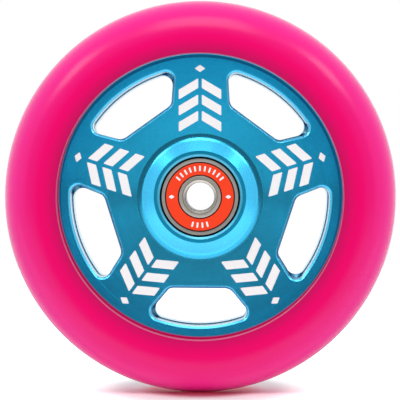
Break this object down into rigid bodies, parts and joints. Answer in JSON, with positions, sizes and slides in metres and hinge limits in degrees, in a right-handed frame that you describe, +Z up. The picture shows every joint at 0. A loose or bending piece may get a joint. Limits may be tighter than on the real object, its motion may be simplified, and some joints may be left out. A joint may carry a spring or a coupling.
{
  "type": "scooter wheel",
  "caption": "Kick scooter wheel: round polyurethane tyre on a spoked aluminium core that turns on sealed ball bearings held apart by a spacer tube.",
  "frame": {"origin": "centre of the wheel, on the axle's line at the middle of the width", "axes": "+Y along the axle away from the side that shows, +X to its right, +Z up"},
  "size_m": [0.11, 0.0246, 0.11],
  "materials": {
    "urethane": "satin",
    "anodised": "satin anodised",
    "bare_alloy": "turned",
    "bearing_steel": "ground",
    "cage_sheet": "pressed",
    "seal_rubber": "satin",
    "seal_steel": "dull"
  },
  "bodies": {
    "axle_stack": {"spacer_tube": "bare_alloy", "front_inner_race": "bearing_steel", "rear_inner_race": "bearing_steel"},
    "wheel": {"tyre": "urethane", "core": "anodised", "front_outer_race": "bearing_steel", "front_outer_seal": "seal_rubber", "front_outer_seal_ring": "seal_steel", "front_inner_seal": "seal_rubber", "front_inner_seal_ring": "seal_steel", "rear_outer_race": "bearing_steel", "rear_outer_seal": "seal_rubber", "rear_outer_seal_ring": "seal_steel", "rear_inner_seal": "seal_rubber", "rear_inner_seal_ring": "seal_steel"},
    "front_ball_set": {"front_balls": "bearing_steel", "front_cage_outer": "cage_sheet", "front_cage_inner": "cage_sheet", "front_cage_rivets": "bearing_steel"},
    "rear_ball_set": {"rear_balls": "bearing_steel", "rear_cage_outer": "cage_sheet", "rear_cage_inner": "cage_sheet", "rear_cage_rivets": "bearing_steel"}
  },
  "joints": [
    {"name": "wheel_spin", "type": "hinge", "parent": "axle_stack", "child": "wheel", "pos_m": [0, 0, 0], "axis": [0, 1, 0], "continuous": true},
    {"name": "front_cage_orbit", "type": "hinge", "parent": "axle_stack", "child": "front_ball_set", "pos_m": [0, -0.0085, 0], "axis": [0, 1, 0], "continuous": true},
    {"name": "rear_cage_orbit", "type": "hinge", "parent": "axle_stack", "child": "rear_ball_set", "pos_m": [0, 0.0085, 0], "axis": [0, 1, 0], "continuous": true}
  ],
  "couplings": [
    {"joint": "front_cage_orbit", "follows": "wheel_spin", "ratio": 0.6323},
    {"joint": "rear_cage_orbit", "follows": "wheel_spin", "ratio": 0.6323}
  ]
}
